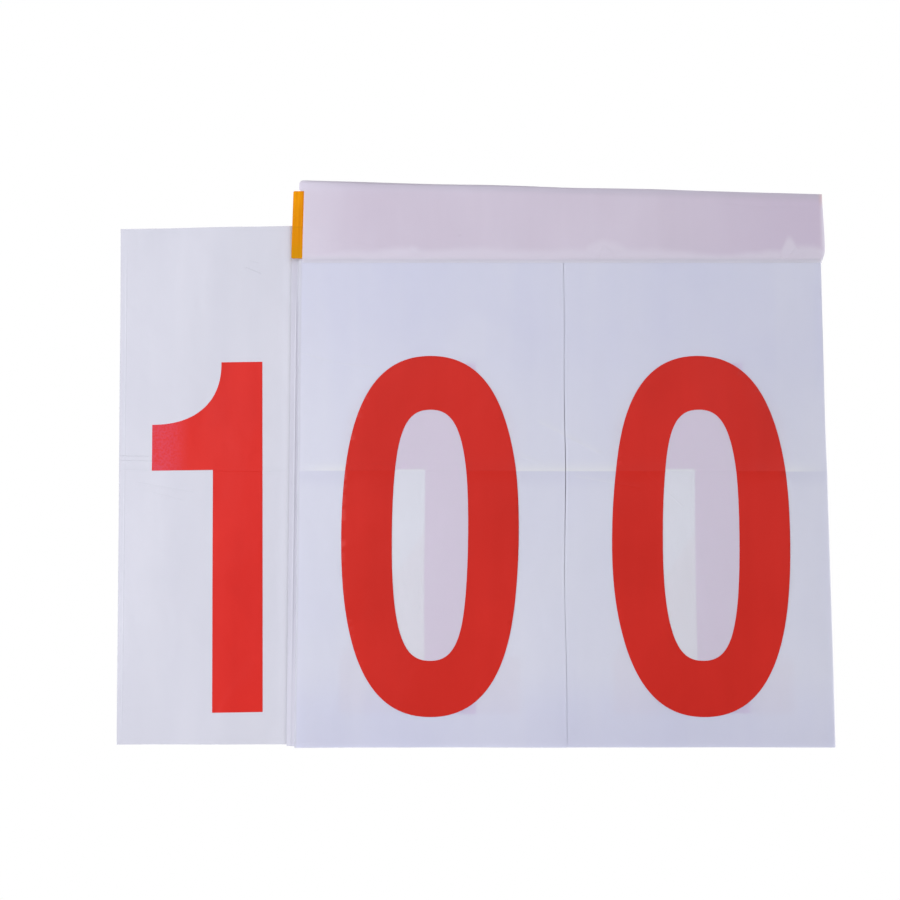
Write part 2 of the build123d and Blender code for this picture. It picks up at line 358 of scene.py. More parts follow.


# the films: darker and lighter cloud colour, how much a face hides, roughness from and to;
# a band is (from, to, share) in mm, and a painted light band is (tint, band where it comes
# in downwards, from and to where it goes out again)
filmLooks = {
    "padFilm": {
        "dark": (0.853, 0.85, 0.985),
        "light": (0.913, 0.905, 1.0),
        "paintedLightBands": [
            # painted light: a broad paler pool down the middle of the sheets
            ((0.965, 0.957, 1.0), (-60.0, -190.0, 0.42), (-330.0, -368.0)),
            # painted shade just below the main crease
            ((0.80, 0.795, 0.93), (-187.6, -188.6, 0.35), (-190.0, -204.0)),
            # painted shade towards the foot
            ((0.74, 0.735, 0.87), (-352.0, -391.0, 0.18), None),
        ],
        # painted highlight along each fold ridge
        "fold": (0.99, 0.98, 1.0),
        "foldPaintShare": 1.0,
        "folds": "pad",
        # painted shade along the sheets' left edge
        "edge": (0.78, 0.77, 0.83),
        "edgeShadeBand": (-196.8, -198.8),
        "alpha": 0.66,
        "rough": (0.30, 0.44),
        "shine": 0.3,
    },
    "flapFilm": {
        "dark": (0.625, 0.615, 0.695),
        "light": (0.68, 0.665, 0.735),
        # painted shade along each crease
        "fold": (0.52, 0.52, 0.60),
        "foldPaintShare": 0.5,
        "folds": "flap",
        "alpha": 0.85,
        "rough": (0.28, 0.42),
        "shine": 0.3,
    },
    "backFilm": {
        "dark": (0.62, 0.60, 0.68),
        "light": (0.67, 0.65, 0.725),
        # painted shade along each crease and along the line beside the columns' left edge
        "fold": (0.50, 0.49, 0.58),
        "foldPaintShare": 0.6,
        "folds": "back",
        "alpha": 0.94,
        "rough": (0.30, 0.44),
        "shine": 0.3,
    },
}
# painted light: the two front sheets are paler inside their zeros; centres and half sizes of the
# insides, in mm
filmLooks["zeroFilm"] = {
    **filmLooks["padFilm"],
    "alpha": 0.64,
    "inside": (0.97, 0.965, 1.0),
    "counters": [(-99.7, -235.2), (103.3, -235.2)],
    "counterSize": (43.0, 112.0),
}


def toneBand(tree, height, comes, goes):
    # how much of a painted light band shows at a height
    band = bandNode(tree, height, *comes)
    if goes is None:
        return band
    start, end = goes
    return times(tree, band, bandNode(tree, height, end, start))


def insideCounters(tree, axes, look):
    # 1 inside the zeros of both columns, its border lies under the ink
    halfWidth, halfHeight = look["counterSize"]
    total = None
    for x, z in look["counters"]:
        across = times(tree, minus(tree, axes["X"], x * mm), 1 / (halfWidth * mm))
        down = times(tree, minus(tree, axes["Z"], z * mm), 1 / (halfHeight * mm))
        reach = plus(tree, times(tree, across, across), times(tree, down, down))
        inside = rangeNode(tree, reach, 0.9, 1.1, 1.0, 0.0, smooth=True)
        total = inside if total is None else greater(tree, total, inside)
    return total


def makeFilmMaterial(name, look):
    material, tree, shader = blankMaterial(name)
    film = useGroup(tree, filmGroup)
    folds = useGroup(tree, foldGroups[look["folds"]])
    axes = objectAxes(tree)
    colour = mixColour(tree, film["Tone"], look["dark"], look["light"])
    # painted light and shade in bands down the sheets
    for tint, comes, goes in look.get("paintedLightBands", []):
        colour = mixColour(tree, toneBand(tree, axes["Z"], comes, goes), colour, tint)
    # painted light and shade along the fold ridges
    foldPainted = times(tree, folds["Mask"], look["foldPaintShare"])
    colour = mixColour(tree, foldPainted, colour, look["fold"])
    # painted shade along the sheets' left edge
    if "edge" in look:
        rim = bandNode(tree, axes["X"], *look["edgeShadeBand"])
        colour = mixColour(tree, rim, colour, look["edge"])
    # painted light inside the zeros
    if "counters" in look:
        colour = mixColour(tree, insideCounters(tree, axes, look), colour, look["inside"])
    tree.links.new(colour, shader.inputs["Base Color"])
    shader.inputs["Alpha"].default_value = look["alpha"]
    addFilmSurface(tree, shader, film, folds, look)
    return material


films = {name: makeFilmMaterial(name, look) for name, look in filmLooks.items()}

# the folded film of the head: lavender over the strip, with painted light along the lower part of
# its front leaf and along its very edge, paler towards both ends, deeper towards the right; bands
# are (from, to, share) and sways how far a border wavers, in mm, and tents are (place, half
# width, rise) in mm where the painted light reaches higher, at the puckers by the staples
sleeveLook = {
    "dark": (0.725, 0.64, 0.745),
    "light": (0.78, 0.70, 0.805),
    "violet": (0.70, 0.595, 0.73),
    "violetBand": (70.0, 190.0, 0.8),
    # painted shade along the roll at the top
    "roll": (0.63, 0.57, 0.66),
    "rollShadeBand": (21.75, 29.75, 0.9),
    "rollSlope": 0.02925,
    # painted light on the flared lower part of the front leaf, and paler ends
    "pale": (0.81, 0.745, 0.84),
    "flareLightBand": (-15.6, -22.6, 0.95),
    "paleNoise": (26.0, 2.0),
    "paleSway": 5.0,
    "endBands": [(-150.0, -196.0, 0.75), (196.0, 199.5, 0.6)],
    "tinge": (0.76, 0.50, 0.46),
    "tingeAcross": (195.5, 199.5, 0.6),
    "tingeUp": (12.0, 22.0),
    "rim": (0.775, 0.735, 0.815),
    "rimBand": (-24.0, -27.0),
    "rimNoise": (9.0, 1.0),
    "rimSway": 1.5,
    # painted light on the very edge, where the tucked film faces down
    "hemLight": (0.97, 0.93, 1.0),
    "hemLightBand": (-26.7, -28.0),
    "alpha": 0.90,
    "rimAlpha": 0.55,
    "alphaSpan": (-28.5, -25.8),
    "rough": (0.34, 0.48),
    "shine": 0.3,
    "tents": [
        (-112.5, 6.0, 2.0),
        (27.0, 11.0, 6.0),
        (39.0, 14.0, 6.5),
        (122.0, 62.0, -4.5),
        (173.0, 7.0, 8.0),
        (188.0, 20.0, 4.5),
    ],
}


def makeSleeveMaterial(look):
    material, tree, shader = blankMaterial("sleeveFilm")
    film = useGroup(tree, filmGroup)
    folds = useGroup(tree, foldGroups["sleeve"])
    axes = objectAxes(tree)
    across, up = axes["X"], axes["Z"]
    colour = mixColour(tree, film["Tone"], look["dark"], look["light"])
    rightward = bandNode(tree, across, *look["violetBand"])
    colour = mixColour(tree, rightward, colour, look["violet"])
    # painted shade where the film rolls over at the top
    aslant = plus(tree, up, times(tree, across, look["rollSlope"]))
    rollShaded = bandNode(tree, aslant, *look["rollShadeBand"])
    colour = mixColour(tree, rollShaded, colour, look["roll"])
    # painted light along the lower part of the front leaf, where the film flares out from the
    # strip, reaching higher at the staples; paler also towards both ends
    sway = look["paleSway"] * mm
    wobble = rangeNode(tree, objectNoise(tree, *look["paleNoise"]), 0.0, 1.0, -sway, sway)
    height = plus(tree, up, wobble)
    for place, half, rise in look["tents"]:
        away = times(tree, minus(tree, across, place * mm), 1 / (half * mm))
        hump = minus(tree, 1.0, times(tree, away, away), clamp=True)
        hump = times(tree, hump, hump)
        height = minus(tree, height, times(tree, hump, rise * mm))
    pale = bandNode(tree, height, *look["flareLightBand"])
    for band in look["endBands"]:
        pale = greater(tree, pale, bandNode(tree, across, *band))
    colour = mixColour(tree, pale, colour, look["pale"])
    # the strip's orange shows faintly through the upper right corner
    corner = times(
        tree,
        bandNode(tree, across, *look["tingeAcross"]),
        bandNode(tree, up, *look["tingeUp"]),
    )
    colour = mixColour(tree, corner, colour, look["tinge"])
    # the foot below the strip, and painted light on the very edge, where the tucked film faces
    # down
    sway = look["rimSway"] * mm
    wobble = spreadNoise(tree, objectNoise(tree, *look["rimNoise"]), -sway, sway)
    rim = bandNode(tree, plus(tree, up, wobble), *look["rimBand"])
    colour = mixColour(tree, rim, colour, look["rim"])
    hemLight = bandNode(tree, up, *look["hemLightBand"])
    tree.links.new(mixColour(tree, hemLight, colour, look["hemLight"]), shader.inputs["Base Color"])
    low, high = look["alphaSpan"]
    thinner = rangeNode(
        tree, up, low * mm, high * mm, look["rimAlpha"], look["alpha"], smooth=True
    )
    tree.links.new(thinner, shader.inputs["Alpha"])
    addFilmSurface(tree, shader, film, folds, look)
    return material


films["sleeveFilm"] = makeSleeveMaterial(sleeveLook)

# the printed red: even, slightly glossy, following the film's crinkles
inkLook = {
    "dark": (0.605, 0.0155, 0.0075),
    "light": (0.685, 0.0205, 0.0115),
    "veiled": (0.44, 0.008, 0.42),
    "deep": (0.46, 0.012, 0.06),
    "rough": (0.34, 0.46),
    "shine": 0.22,
}
# painted highlight: the flap's figure is paler at the end of its flag, finely speckled, for a
# soft reflection there
flapInkLook = {
    **inkLook,
    "dark": (0.70, 0.017, 0.011),
    "light": (0.79, 0.023, 0.014),
    "veiled": (0.72, 0.03, 0.05),
    "flagSheen": (0.745, 0.050, 0.080),
    "sheenBand": (-280.0, -301.0),
    "speckle": (650.0, 3.0),
    "speckleSpan": (0.4, 0.6),
    "speckleLeast": 0.3,
}


def makeInkMaterial(name, folds, look):
    material, tree, shader = blankMaterial(name)
    film = useGroup(tree, filmGroup)
    ridges = useGroup(tree, foldGroups[folds])
    colour = mixColour(tree, film["Tone"], look["dark"], look["light"])
    # painted highlight, finely speckled, at the end of the flap figure's flag
    if "flagSheen" in look:
        sheenArea = bandNode(tree, objectAxes(tree)["X"], *look["sheenBand"])
        specks = objectNoise(tree, *look["speckle"])
        specks = rangeNode(tree, specks, *look["speckleSpan"], look["speckleLeast"], 1.0)
        colour = mixColour(tree, times(tree, sheenArea, specks), colour, look["flagSheen"])
    # painted light and shade: seen through one milky film the red is painted mauve for the film's
    # scattered light, through more films a dull dark red for their shade
    depth = addNode(tree, "ShaderNodeLightPath").outputs["Transparent Depth"]
    anyFilm = mathNode(tree, "GREATER_THAN", depth, 0.5)
    moreFilms = mathNode(tree, "GREATER_THAN", depth, 1.5)
    veiled = mixColour(tree, moreFilms, look["veiled"], look["deep"])
    tree.links.new(mixColour(tree, anyFilm, colour, veiled), shader.inputs["Base Color"])
    addFilmSurface(tree, shader, film, ridges, look)
    return material


inks = {
    "pad": makeInkMaterial("padInk", "pad", inkLook),
    "flap": makeInkMaterial("flapInk", "flap", flapInkLook),
}

# the stiff strip: orange plastic with fine drawn lines along it, a line of painted shade across,
# where the strip bends over the back sheet's top edge behind it, and below it a shade more
stripLook = {
    "dark": (0.76, 0.25, 0.001),
    "light": (1.0, 0.37, 0.002),
    "drawn": (520.0, 2.0, (1.0, 1.0, 0.03)),
    "drawnSpan": (0.35, 0.65),
    "drawnShare": 0.7,
    "drawnHeight": 0.12,
    "cloud": (40.0, 2.0),
    "cloudShare": 0.4,
    "shade": (0.66, 0.24, 0.001),
    "crossLine": -1.6,
    "lineReach": 1.2,
    "lineShare": 0.5,
    "underReach": 0.5,
    "underShare": 0.25,
    "foot": (0.66, 0.30, 0.001),
    "footBand": (-8.0, -24.0, 0.6),
    "rough": (0.35, 0.50),
    "shine": 0.06,
}


def makeStripMaterial(look):
    material, tree, shader = blankMaterial("stripPlastic")
    drawn = objectNoise(tree, *look["drawn"])
    cloud = objectNoise(tree, *look["cloud"])
    tone = plus(
        tree,
        rangeNode(tree, drawn, *look["drawnSpan"], 0.0, look["drawnShare"]),
        spreadNoise(tree, cloud, 0.0, look["cloudShare"]),
        clamp=True,
    )
    # painted shade across the strip where it bends over the back sheet's top edge, a little more
    # below
    up = objectAxes(tree)["Z"]
    crossLine = look["crossLine"]
    beside = mathNode(tree, "ABSOLUTE", minus(tree, up, crossLine * mm))
    line = bandNode(tree, beside, look["lineReach"], 0.0, look["lineShare"])
    above = (crossLine + look["underReach"]) * mm
    below = (crossLine - look["underReach"]) * mm
    under = rangeNode(tree, up, above, below, 0.0, look["underShare"])
    colour = mixColour(tree, tone, look["dark"], look["light"])
    colour = mixColour(tree, greater(tree, line, under), colour, look["shade"])
    footward = bandNode(tree, up, *look["footBand"])
    colour = mixColour(tree, footward, colour, look["foot"])
    tree.links.new(colour, shader.inputs["Base Color"])
    tree.links.new(spreadNoise(tree, cloud, *look["rough"]), shader.inputs["Roughness"])
    shader.inputs["Specular IOR Level"].default_value = look["shine"]
    addBump(tree, shader, times(tree, drawn, look["drawnHeight"] * mm))
    return material


# the staples: bright drawn wire with faint scratches
stapleLook = {
    "dark": (0.42, 0.42, 0.44),
    "light": (0.66, 0.66, 0.68),
    "rough": (0.22, 0.40),
    "scratches": (900.0, 2.0, (0.1, 1.0, 1.0)),
    "scratchHeight": 0.02,
}


def makeStapleMaterial(look):
    material, tree, shader = blankMaterial("stapleWire")
    scratches = objectNoise(tree, *look["scratches"])
    colour = mixColour(tree, scratches, look["dark"], look["light"])
    tree.links.new(colour, shader.inputs["Base Color"])
    tree.links.new(spreadNoise(tree, scratches, *look["rough"]), shader.inputs["Roughness"])
    shader.inputs["Metallic"].default_value = 1.0
    addBump(tree, shader, times(tree, scratches, look["scratchHeight"] * mm))
    return material


stripPlastic = makeStripMaterial(stripLook)
stapleWire = makeStapleMaterial(stapleLook)
print("materials made")


# film pieces: the film is so thin that one face at its middle stands for it
halfFilm = 0.1


def isRim(edge):
    return edge.is_boundary


def isCorner(edge):
    return edge.calc_face_angle(0.0) > 0.8  # in radians


def finishPiece(name, bm, material, isCrisp=isRim):
    # some edges stay crisp, the rest is smooth
    for face in bm.faces:
        face.smooth = True
    for edge in bm.edges:
        if isCrisp(edge):
            edge.smooth = False
    mesh = bpy.data.meshes.new(name)
    bm.to_mesh(mesh)
    bm.free()
    mesh.materials.append(material)
    return addObject(name, mesh)


def filmGrid(columns, rows, place):
    # one grid of film facing the front, each crossing put where place says
    bm = bmesh.new()
    bmesh.ops.create_grid(bm, x_segments=len(columns) - 1, y_segments=len(rows) - 1, size=0.5)
    for vert in bm.verts:
        column = columns[round((vert.co.x + 0.5) * (len(columns) - 1))]
        row = rows[round((vert.co.y + 0.5) * (len(rows) - 1))]
        vert.co = place(column, row)
    return bm


columnNames = ("tens", "units")
sheetCount = 10
columnLeft = -198.85  # the left column's left edge, in mm
flapCrease = -206.0  # where the back sheet ends and the flap begins

# how the hanging sheets of both columns wave, in mm from the CAD's flat sheets
sheetWaves = {
    "hinge": -29.3,
    "foot": -391.6,
    "crease": -187.9,
    "creaseRise": 0.35,
    "creaseReach": 9.0,
    "waves": [
        (0.9, 230.0, 420.0, 0.6),
        (0.5, 96.0, -330.0, 2.1),
        (0.3, 150.0, 120.0, 4.0),
    ],
    "growth": [(0.45, 8, 70), (0.55, 50, 260)],  # share of the waves, from and to in mm down
    "cornerLift": 1.2,
    "cornerDown": (250, 362),
    "leftCorner": (150, 199),
    "rightCorner": (140, 199),
    "rightShare": 0.6,
    "fan": 0.25,
}


def sheetRise(x, z, setup=sheetWaves):
    # how far the film stands forward at a place, in mm
    drop = setup["hinge"] - z
    if drop <= 0:
        return 0.0
    growth = sum(share * ease(drop, start, end) for share, start, end in setup["growth"])
    rise = growth * swell(x, z, setup["waves"])
    rise += setup["creaseRise"] * math.exp(-abs(z - setup["crease"]) / setup["creaseReach"])
    corners = ease(-x, *setup["leftCorner"])
    corners += setup["rightShare"] * ease(x, *setup["rightCorner"])
    rise += setup["cornerLift"] * ease(drop, *setup["cornerDown"]) * corners
    # left of the columns the back sheet lies flatter towards its crease
    if x < columnLeft:
        rise *= ease(x, flapCrease, columnLeft)
    return rise


def dropShare(z, setup=sheetWaves):
    # 0 at the hinge line, 1 at the foot
    return max(0.0, setup["hinge"] - z) / (setup["hinge"] - setup["foot"])


def sheetFan(number, z, setup=sheetWaves):
    # the front sheets hang a little further forward at the foot, so no two cross
    drop = dropShare(z)
    return setup["fan"] * (sheetCount - 1 - number) * drop * drop


# every sheet of a column, front to back: how far its edges stand out, in mm
sheetCuts = {
    "tens": {
        "left": [0.0, 0.15, 0.3, 0.4, 0.5, 0.6, 0.7, 0.8, 0.9, 1.0],
        "right": [0.0, 0.30, 0.34, 0.28, 0.36, 0.32, 0.26, 0.35, 0.30, 0.33],
        "foot": [0.0, 0.3, -0.2, 0.5, 0.2, -0.3, 0.6, 0.1, 0.4, -0.1],
    },
    "units": {
        "left": [0.0, 0.34, 0.28, 0.33, 0.27, 0.36, 0.31, 0.26, 0.34, 0.29],
        "right": [-2.3, -1.0, -0.8, -0.6, -1.1, -0.7, -0.6, -0.9, -0.7, -0.6],
        "foot": [0.0, -0.3, 0.3, 0.1, 0.5, -0.2, 0.2, 0.6, -0.1, 0.3],
    },
}
# the outer edges, over shares of the drop: the left ones fan out more at the top, the right
# ones stand in by some mm, less so towards the foot, and the front one more near the top
edgeSetup = {
    "leftSpread": 1.5,
    "leftOver": (0.02, 0.22),
    "rightStand": 0.6,
    "rightEased": 0.6,
    "rightOver": (0.2, 1.0),
    "frontOver": (0.0, 0.5),
}
# the front sheets nearly meet at the top of the seam and stand apart lower down
seamSetup = {
    "closed": 0.375,
    "opened": 0.34,
    "openAt": 0.43,
    "openReach": 0.14,
    "openBehind": 0.25,
    # the whole seam sways to the right: (how far in mm, where, over what share of the drop)
    "sways": [(0.5, 0.10, 0.10), (0.6, 0.43, 0.08), (-1.0, 0.68, 0.12)],
}

sheetEdges = {}
for columnName in columnNames:
    low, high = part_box(f"{columnName}_sheet_0")
    sheetEdges[columnName] = (low.x / mm, high.x / mm)


def rightTrim(drop, setup=edgeSetup):
    # what part of its standing in the right edge keeps
    return 1 - setup["rightEased"] * ease(drop, *setup["rightOver"])


def seamEdge(column, number, drop, setup=seamSetup):
    # how far a sheet's edge at the seam stands to the right, in mm
    side = 1 if column == "tens" else -1
    away = (drop - setup["openAt"]) / setup["openReach"]
    opened = setup["opened"] * math.exp(-away * away)
    closed = setup["closed"]
    if number > 0:
        closed = sheetCuts[column]["right" if column == "tens" else "left"][number]
        opened *= setup["openBehind"]
    sway = 0.0
    for push, place, reach in setup["sways"]:
        bend = (drop - place) / reach
        sway += push * math.exp(-bend * bend)
    return side * (closed - opened) + sway


def sheetShift(column, number, x, z, setup=edgeSetup):
    # a sheet isn't cut quite like its neighbours: how far a place moves across and down, in mm
    left, right = sheetEdges[column]
    share = (x - left) / (right - left)
    drop = dropShare(z)
    cuts = sheetCuts[column]
    seam = seamEdge(column, number, drop)
    if column == "tens":
        spread = 1 + setup["leftSpread"] * (1 - ease(drop, *setup["leftOver"]))
        across = seam * share - cuts["left"][number] * spread * (1 - share)
    else:
        stand = setup["rightStand"]
        narrow = 1 - ease(drop, *setup["frontOver"]) if number == 0 else 1.0
        outer = (cuts["right"][number] + stand) * narrow - stand * rightTrim(drop)
        across = outer * share + seam * (1 - share)
    return across, -cuts["foot"][number] * drop


# the lines of the sheets' grid: rows close together where the film bends at the hinge
sheetGrid = {
    "columns": 32,
    "stub": 2.0,
    "bendEnd": 12.0,
    "bendRows": 9,
    "upperRows": 25,
    "lowerRows": 33,
    "blend": 8.0,
}


def sheetRows(setup=sheetGrid):
    hinge = sheetWaves["hinge"]
    rows = steps(hinge + setup["stub"], hinge - setup["bendEnd"], setup["bendRows"])
    rows += steps(hinge - setup["bendEnd"], sheetWaves["crease"], setup["upperRows"])[1:]
    rows += steps(sheetWaves["crease"], sheetWaves["foot"], setup["lowerRows"])[1:]
    return rows[::-1]


def sheetColumns(column):
    left, right = sheetEdges[column]
    return steps(left, right, sheetGrid["columns"])


def sheetDepth(column, number):
    # how far in front of the origin the middle of a flat sheet lies, in mm
    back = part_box(f"{column}_sheet_{number}")[1].y
    return halfFilm - back / mm


def makeSheet(column, number):
    node = f"{column}_sheet_{number}"
    depth = sheetDepth(column, number)

    def place(x, z):
        across, down = sheetShift(column, number, x, z)
        rise = sheetRise(x, z) + sheetFan(number, z)
        return Vector((x + across, -(depth + rise), z + down)) * mm

    bm = filmGrid(sheetColumns(column), sheetRows(), place)
    film = films["padFilm" if number > 0 else "zeroFilm"]
    piece = finishPiece(f"{column}_film_{number}", bm, film)
    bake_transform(piece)
    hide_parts(node)


def cutAtLines(bm, columns, rows):
    # cuts a flat outline where the film's own grid has its lines
    cuts = [((x * mm, 0, 0), (1, 0, 0)) for x in columns]
    cuts += [((0, 0, z * mm), (0, 0, 1)) for z in rows]
    for spot, normal in cuts:
        geometry = bm.verts[:] + bm.edges[:] + bm.faces[:]
        bmesh.ops.bisect_plane(bm, geom=geometry, dist=1e-7, plane_co=spot, plane_no=normal)


def makeInk(node, name, columns, rows, moved, material):
    # the printed figure: the CAD's own figure, cut at the film's lines and laid on its waves
    low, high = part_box(node)
    bm = bmesh.new()
    bm.from_mesh(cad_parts[node].data)
    bmesh.ops.remove_doubles(bm, verts=bm.verts[:], dist=1e-6)
    cutAtLines(
        bm,
        [x for x in columns if low.x < x * mm < high.x],
        [z for z in rows if low.z < z * mm < high.z],
    )
    for vert in bm.verts:
        x, z = vert.co.x / mm, vert.co.z / mm
        vert.co = vert.co + moved(x, z) * mm
    piece = finishPiece(name, bm, material, isCorner)
    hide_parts(node)
    return piece


# the ink stands this far off the film, and the fold draws the second sheet's figure up a little
inkLift = 0.012
foldDraw = {"sheet": 1, "draw": 1.6, "reach": 6.0}


def makeSheetInk(column, number, setup=foldDraw):
    def moved(x, z):
        across, down = sheetShift(column, number, x, z)
        if number == setup["sheet"]:
            away = (z - sheetWaves["crease"]) / setup["reach"]
            down += setup["draw"] * math.exp(-away * away)
        rise = sheetRise(x, z) + sheetFan(number, z) + inkLift
        return Vector((across, -rise, down))

    piece = makeInk(
        f"{column}_numeral_{number}",
        f"{column}_ink_{number}",
        sheetColumns(column),
        sheetRows(),
        moved,
        inks["pad"],
    )
    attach(piece, f"{column}_leaf_{number}")


for columnName in columnNames:
    for sheetNumber in range(sheetCount):
        makeSheet(columnName, sheetNumber)
        makeSheetInk(columnName, sheetNumber)
print("sheets and figures of both columns made")


# the sheets' upper margins, clamped behind the strip and cut unevenly, in mm
marginSetup = {"columns": 16, "rows": 6, "lowest": -27.2, "uneven": 0.15}


def makeMargin(column, number, setup=marginSetup):
    low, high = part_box(f"{column}_heads")
    depth = sheetDepth(column, number)
    highest = high.z / mm - setup["uneven"] * (number % 3)
    columns = steps(low.x / mm, high.x / mm, setup["columns"])
    rows = steps(setup["lowest"], highest, setup["rows"])

    def place(x, z):
        across = sheetShift(column, number, x, z)[0]
        return Vector((x + across, -depth, z)) * mm

    bm = filmGrid(columns, rows, place)
    piece = finishPiece(f"{column}_margin_{number}", bm, films["padFilm"])
    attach(piece, "head")
    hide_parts(f"{column}_heads")


for columnName in columnNames:
    for sheetNumber in range(sheetCount):
        makeMargin(columnName, sheetNumber)
print("margins made")


# the sheet behind both columns, up to the crease of the flap; its size flat is in metres
backSetup = {
    "columns": 60,
    "creaseColumns": 4,
    "topRows": 5,
    "depth": 1.0,
    "rightStand": 0.7,
    "flat": (0.40485, 0.3924),
}


def makeBackSheet(setup):
    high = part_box("back_sheet")[1]
    right, top = high.x / mm, high.z / mm
    columns = steps(flapCrease, columnLeft, setup["creaseColumns"])
    columns += steps(columnLeft, right, setup["columns"])[1:]
    rows = sheetRows()
    rows += steps(rows[-1], top, setup["topRows"])[1:]

    def place(x, z):
        across = -setup["rightStand"] * rightTrim(dropShare(z)) * max(0.0, x) / right
        return Vector((x + across, -(setup["depth"] + sheetRise(x, z)), z)) * mm

    bm = filmGrid(columns, rows, place)
    piece = finishPiece("back_film", bm, films["backFilm"])
    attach(piece, "head")
    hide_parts("back_sheet")


makeBackSheet(backSetup)

# the flap for the hundreds, left of the crease: its corners, its roll at the crease and its
# waves in mm, its size flat in metres
flapSetup = {
    "columns": 40,
    "crowding": 1.6,
    "rows": 60,
    "depth": 1.0,
    "bottom": -390.5,
    "topLeft": -2.0,
    "topRight": 0.8,
    "leftTop": -337.0,
    "leftBottom": -331.4,
    "rollRise": 0.45,
    "rollReach": 1.8,
    "growth": (4, 60),
    "waves": [(0.8, 260.0, 380.0, 1.0), (0.5, -140.0, 210.0, 3.0), (0.25, 70.0, -400.0, 0.4)],
    "creaseRise": 0.3,
    "creaseReach": 8.0,
    "cornerLift": 1.0,
    "cornerAcross": (90, 130),
    "footCorner": (300, 390),
    "topCorner": (-70, -3),
    "blend": 4.0,
    "middle": -196.0,
    "flat": (0.1299, 0.3913),
    "area": 0.0497,
}


def flapRise(x, z, setup=flapSetup):
    away = max(0.0, flapCrease - x)
    reach = setup["rollReach"]
    rise = setup["rollRise"] * (away / reach) * math.exp(1 - away / reach)
    grow = ease(away, *setup["growth"])
    rise += grow * swell(x, z, setup["waves"])
    offCrease = abs(z - sheetWaves["crease"]) / setup["creaseReach"]
    rise += setup["creaseRise"] * grow * math.exp(-offCrease)
    corners = ease(-z, *setup["footCorner"]) + ease(z, *setup["topCorner"])
    rise += setup["cornerLift"] * ease(away, *setup["cornerAcross"]) * corners
    return rise


def makeFlap(setup):
    # columns closer together towards the crease
    columns = [1 - (1 - t) ** setup["crowding"] for t in steps(0.0, 1.0, setup["columns"])]
    rows = steps(0.0, 1.0, setup["rows"])

    def place(u, v):
        leftEdge = setup["leftBottom"] + (setup["leftTop"] - setup["leftBottom"]) * v
        x = leftEdge + (flapCrease - leftEdge) * u
        top = setup["topRight"] + (setup["topLeft"] - setup["topRight"]) * (1 - u)
        z = setup["bottom"] + (top - setup["bottom"]) * v
        return Vector((x, -(setup["depth"] + flapRise(x, z)), z)) * mm

    bm = filmGrid(columns, rows, place)
    piece = finishPiece("hundreds_film", bm, films["flapFilm"])
    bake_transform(piece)
    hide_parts("hundreds_flap")


makeFlap(flapSetup)

# the flap's figure, cut at columns and rows (from, to, count): its print is drawn a little
# right and up, and its inner curve is fuller
flagSetup = {
    "columns": (-340.0, -206.0, 40),
    "rows": (-392.0, 0.0, 80),
    "left": -311.5,
    "stem": -264.5,
    "right": -227.0,
    "top": -106.6,
    "curveAcross": 51.4,
    "curveDown": 47.1,
    "fullness": 2.32,
    "curveReach": 0.15,
    "drawLeft": 1.0,
    "drawStem": 0.8,
    "drawRight": -0.55,
    "drawUp": 1.15,
    "drawUpOver": (-345.0, -200.0),
    "lift": 0.015,
}


def flagMoved(x, z, setup=flagSetup):
    across = setup["drawLeft"] + setup["drawStem"] * ease(x, setup["left"], setup["stem"])
    across += setup["drawRight"] * ease(x, setup["stem"], setup["right"])
    up = setup["drawUp"] * ease(z, *setup["drawUpOver"])
    u = (x - setup["left"]) / setup["curveAcross"]
    v = (setup["top"] - z) / setup["curveDown"]
    if u > 0 and v > 0:
        away = math.hypot(u, v)
        power = setup["fullness"]
        full = ((u / away) ** power + (v / away) ** power) ** (-1 / power)
        off = (away - 1) / setup["curveReach"]
        push = (full - 1) * math.exp(-off * off)
        across += push * (x - setup["left"])
        up -= push * (setup["top"] - z)
    return Vector((across, -(flapRise(x, z) + inkLift + setup["lift"]), up))


flapInk = makeInk(
    "hundreds_numeral",
    "hundreds_ink",
    steps(*flagSetup["columns"]),
    steps(*flagSetup["rows"]),
    flagMoved,
    inks["flap"],
)
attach(flapInk, "hundreds")
print("back sheet and flap made")


# the film folded over the strip, with a soft roll along its top and puckers at the staples,
# in mm; foldLeft and foldRight are how round the roll is at the left and at the right, and
# its size flat is in metres
sleeveSetup = {
    "columns": 132,
    "foldRows": 12,
    "leafRows": 26,
    "notchRows": 4,
    "crowding": 1.35,
    "backLeft": -200.05,
    "frontLeft": -196.25,
    "frontSlant": 1.0,
    "notchTop": 26.95,
    "notchSoft": (0.15, 0.2),
    "notchGap": 0.3,
    "notchRow": 0.7,
    "springGap": 0.8,
    "corner": 4.2,
    "right": 200.45,
    "rightTaper": 1.4,
    "taperOver": (0.2, 0.95),
    "rightFoot": 1.9,
    "footOver": (0.0, 0.14),
    "bottom": -29.0,
    "topLeft": 35.6,
    "topRight": 23.9,
    "topSway": 0.3,
    "topTurns": 21.0,
    "foldLeft": 3.4,
    "foldRight": 0.5,
    "foldOver": (0.05, 0.75),
    "backDepth": 0.1,
    "frontDepth": 7.06,
    "staples": [176.1, 31.8, -112.5],
    "stapleHeight": -20.5,
    "pucker": 0.45,
    "puckerAcross": 9.0,
    "puckerUp": 3.0,
    "crease": 0.18,
    "creaseFrom": 2.0,
    "creaseSlope": 0.35,
    "creaseSoft": 1.6,
    "creaseReach": 14.0,
    "flare": 0.3,
    "flareOver": (17.5, 24.0),
    "flareShares": (0.6, 0.4),
    "flareLength": 31.0,
    "tuck": 1.95,
    "barFoot": -25.8,
    "barTuck": 0.6,
    "tuckFrom": 16.0,
    "settleFrom": 19.0,
    "flat": (0.4005, 0.131),
    "waves": [(0.25, 120.0, 60.0, 0.5), (0.15, 47.0, 90.0, 2.0)],
}


